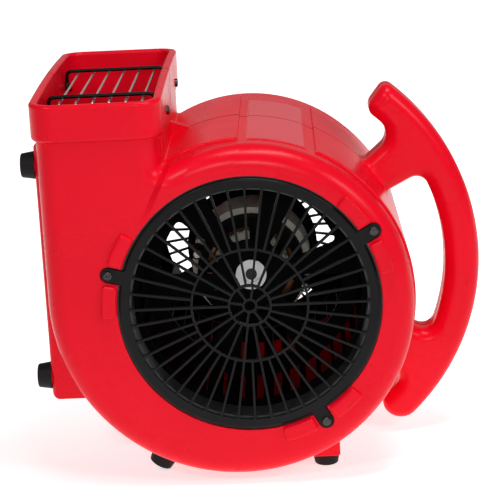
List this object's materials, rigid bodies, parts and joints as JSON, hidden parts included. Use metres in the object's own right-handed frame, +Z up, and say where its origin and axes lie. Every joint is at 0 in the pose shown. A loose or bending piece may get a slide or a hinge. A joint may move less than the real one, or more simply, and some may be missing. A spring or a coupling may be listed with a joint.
{
  "type": "air mover",
  "caption": "Centrifugal air mover with a scroll housing, side handle, round inlet grilles and a guarded square outlet, standing on its end feet.",
  "frame": {"origin": "on the floor, under the middle of the bounding box, with the machine standing on its end feet and blowing upwards", "axes": "+Z up, +X towards the handle side, +Y from the front inlet to the rear inlet; the fan axis is parallel to Y"},
  "size_m": [0.472, 0.343, 0.4112],
  "materials": {
    "red_plastic": "satin moulded skin",
    "black_plastic": "fine matt",
    "black_rubber": "matt",
    "bright_steel": "zinc plated wire",
    "black_steel": "black coated",
    "zinc_steel": "zinc plated",
    "copper": "lacquered wire",
    "cast_aluminium": "die cast",
    "lamination": "stacked sheet",
    "oiled_steel": "turned, oiled"
  },
  "bodies": {
    "housing": {"front_housing": "red_plastic", "rear_housing": "red_plastic", "front_handle": "red_plastic", "rear_handle": "red_plastic", "housing_screws": "black_steel", "front_grille": "black_plastic", "front_inlet_ring": "black_plastic", "front_grille_screws": "black_steel", "rear_grille": "black_plastic", "rear_inlet_ring": "black_plastic", "rear_grille_screws": "black_steel", "outlet_crossbars": "black_steel", "outlet_rods": "bright_steel", "outlet_screws": "black_steel", "base_feet": "black_rubber", "base_foot_screws": "zinc_steel", "straight_feet": "black_rubber", "tilted_feet": "black_rubber", "bottom_foot_screws": "zinc_steel", "stator": "lamination", "windings": "copper", "front_bell": "black_steel", "rear_bell": "black_steel", "bearing_outer_rings": "zinc_steel", "bearing_balls": "zinc_steel", "motor_bolts": "zinc_steel", "motor_nuts": "zinc_steel", "motor_bracket": "black_steel", "bracket_screws": "zinc_steel", "capacitor": "black_plastic", "capacitor_nut": "zinc_steel", "control_panel": "black_plastic", "panel_screws": "black_steel", "switch_body": "black_plastic", "switch_nut": "zinc_steel", "cord_gland": "black_plastic", "gland_nut": "black_plastic"},
    "wheel": {"impeller_disc": "black_plastic", "impeller_hub": "cast_aluminium", "impeller_blades": "black_plastic", "impeller_end_rings": "black_plastic", "impeller_set_screw": "zinc_steel", "motor_shaft": "oiled_steel", "rotor": "lamination", "bearing_inner_rings": "zinc_steel"},
    "knob": {"speed_knob": "black_plastic"}
  },
  "joints": [
    {"name": "impeller_spin", "type": "hinge", "parent": "housing", "child": "wheel", "pos_m": [-0.0095, 0, 0.1935], "axis": [0, 1, 0], "continuous": true},
    {"name": "speed_switch", "type": "hinge", "parent": "housing", "child": "knob", "pos_m": [-0.1555, 0.16, 0.3155], "axis": [0, -1, 0], "range_deg": [0, 120]}
  ]
}
